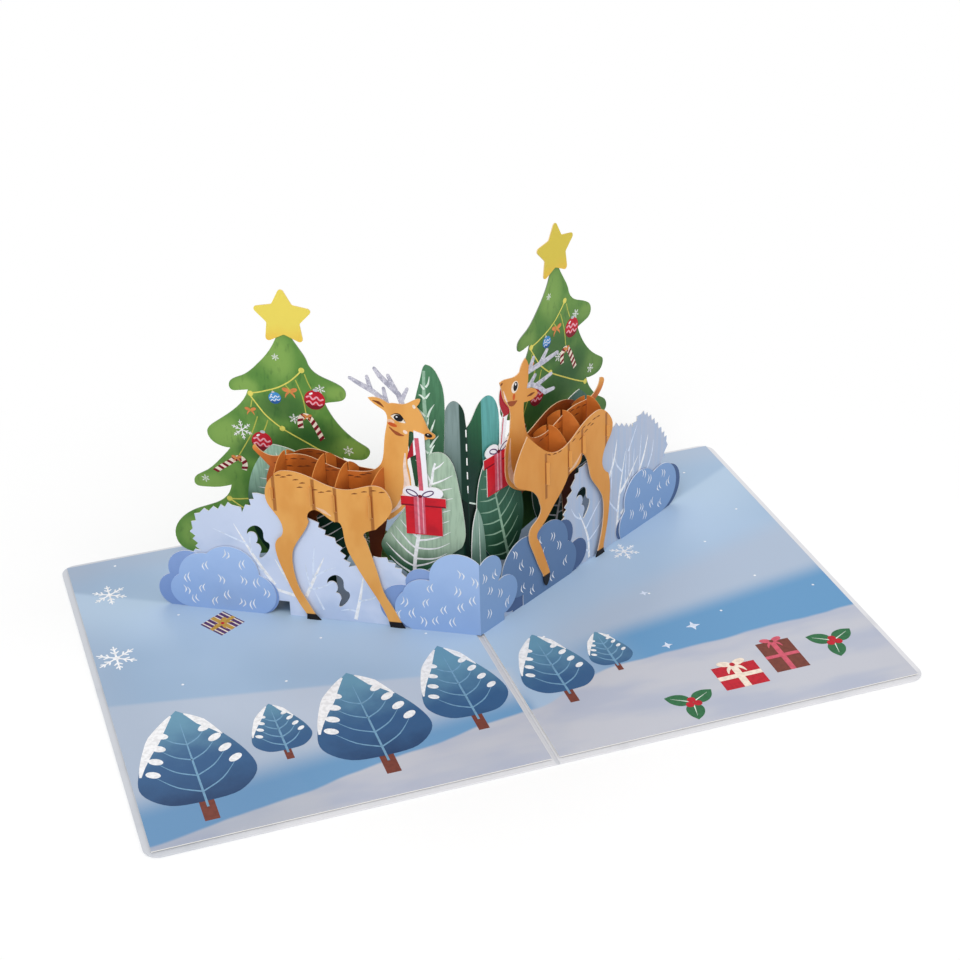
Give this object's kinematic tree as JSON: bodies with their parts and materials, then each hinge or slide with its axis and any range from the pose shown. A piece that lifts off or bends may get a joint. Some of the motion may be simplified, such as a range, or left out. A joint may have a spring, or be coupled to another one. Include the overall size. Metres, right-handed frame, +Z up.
{
  "type": "pop up card",
  "caption": "Winter pop up card, open flat: folded frost leaves and clouds, slice form deer with gift boxes, and fir trees with stars rise from a printed spread.",
  "frame": {"origin": "Middle of the cover's underside, on the surface that the open card lies on.", "axes": "+X to the viewer's right along the open spread, +Y to the back along the spine, +Z up."},
  "size_m": [0.3, 0.2, 0.1442],
  "materials": {
    "cover_card": "matt",
    "page_print": "satin",
    "frost_wall": "matt",
    "cloud_pale": "matt",
    "cloud_deep": "matt",
    "leaf_dark": "matt",
    "leaf_pale": "matt",
    "tree_green": "matt",
    "star_yellow": "matt",
    "deer_tan": "matt",
    "deer_rib": "matt",
    "antler_silver": "satin",
    "gift_red": "matt"
  },
  "bodies": {
    "root": {"cover": "cover_card", "page_left": "page_print", "page_right": "page_print", "front_wall": "frost_wall", "centre_cloud": "cloud_pale", "cloud_left": "cloud_pale", "cloud_inner": "cloud_deep", "cloud_right": "cloud_pale", "centre_cloud_back": "cloud_deep", "cloud_left_back": "cloud_deep", "cloud_inner_back": "cloud_deep", "cloud_right_back": "cloud_deep", "leaf_fold": "leaf_dark", "tall_leaf": "leaf_dark", "pale_leaf": "leaf_pale", "dark_leaf": "leaf_dark", "small_leaf": "leaf_pale", "side_leaf_left": "leaf_pale", "side_leaf_right": "leaf_pale", "tree_left": "tree_green", "tree_right": "tree_green", "star_left": "star_yellow", "star_right": "star_yellow", "deer_left_near": "deer_tan", "deer_left_middle": "deer_tan", "deer_left_far": "deer_tan", "deer_left_rib_1": "deer_rib", "deer_left_rib_2": "deer_rib", "deer_left_rib_3": "deer_rib", "deer_left_rib_4": "deer_rib", "deer_left_antler_1": "antler_silver", "deer_left_antler_2": "antler_silver", "deer_left_gift": "gift_red", "deer_right_near": "deer_tan", "deer_right_middle": "deer_tan", "deer_right_far": "deer_tan", "deer_right_rib_1": "deer_rib", "deer_right_rib_2": "deer_rib", "deer_right_rib_3": "deer_rib", "deer_right_rib_4": "deer_rib", "deer_right_antler_1": "antler_silver", "deer_right_antler_2": "antler_silver", "deer_right_gift": "gift_red"}
  },
  "joints": []
}
